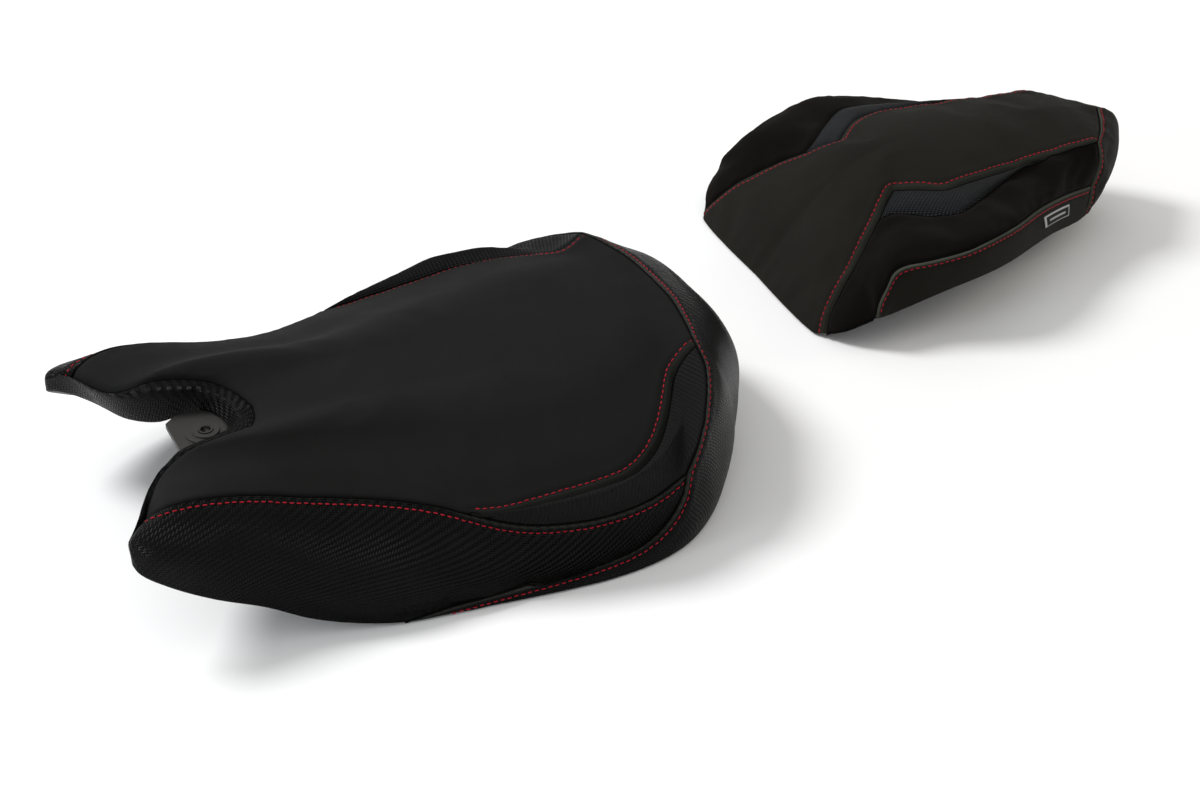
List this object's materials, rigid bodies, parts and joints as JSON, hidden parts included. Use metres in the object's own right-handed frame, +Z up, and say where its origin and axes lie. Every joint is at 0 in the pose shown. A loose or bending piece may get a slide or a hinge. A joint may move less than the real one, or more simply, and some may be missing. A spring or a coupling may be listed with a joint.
{
  "type": "motorcycle seat set",
  "caption": "Sport motorcycle rider seat with a notched nose and separate tapered passenger seat, each a foam block on a plastic pan under a sewn panelled cover.",
  "frame": {"origin": "centre of the whole set's box, on the surface that both seats lie on", "axes": "+X rearward on the motorcycle, +Y to its right side, +Z up. The rider seat lies at -X and the passenger seat at +X and +Y"},
  "size_m": [0.8742, 0.417, 0.1019],
  "materials": {
    "top_fabric": "matt technical fabric, very dark grey",
    "carbon_vinyl": "black coated vinyl with an embossed twill, half gloss",
    "ribbed_mesh": "black ribbed mesh fabric",
    "suede": "black-brown microfibre suede",
    "foam": "moulded polyurethane foam",
    "pan_plastic": "moulded plastic, fine grain",
    "pad_rubber": "moulded rubber",
    "zinc_steel": "zinc plated",
    "label_weave": "plain woven label"
  },
  "bodies": {
    "rider_seat": {"rider_pan": "pan_plastic", "rider_foam": "foam", "rider_cover_top": "top_fabric", "rider_cover_rear_band": "carbon_vinyl", "rider_cover_notch_lining": "carbon_vinyl", "rider_cover_side_left": "carbon_vinyl", "rider_cover_side_right": "carbon_vinyl", "rider_cover_insert_left": "ribbed_mesh", "rider_cover_insert_right": "ribbed_mesh", "rider_bolt_sleeve": "zinc_steel", "rider_rear_tongue_left": "zinc_steel", "rider_rear_tongue_right": "zinc_steel", "rider_pad_front_left": "pad_rubber", "rider_pad_front_right": "pad_rubber", "rider_pad_rear_left": "pad_rubber", "rider_pad_rear_right": "pad_rubber"},
    "pillion_seat": {"pillion_pan": "pan_plastic", "pillion_foam": "foam", "pillion_cover_top": "top_fabric", "pillion_cover_rear_cap": "top_fabric", "pillion_cover_upper_insert_left": "ribbed_mesh", "pillion_cover_upper_insert_right": "ribbed_mesh", "pillion_cover_main_insert_left": "suede", "pillion_cover_main_insert_right": "suede", "pillion_cover_lower_band_left": "top_fabric", "pillion_cover_lower_band_right": "top_fabric", "pillion_side_label": "label_weave", "pillion_latch_striker": "zinc_steel", "pillion_front_tongue_left": "zinc_steel", "pillion_front_tongue_right": "zinc_steel", "pillion_pad_front_left": "pad_rubber", "pillion_pad_front_right": "pad_rubber", "pillion_pad_rear_left": "pad_rubber", "pillion_pad_rear_right": "pad_rubber"}
  },
  "joints": [
    {"name": "pillion_lift_off", "type": "slide", "parent": "rider_seat", "child": "pillion_seat", "axis": [0, 0, 1], "range_m": [0, 0.15]}
  ]
}
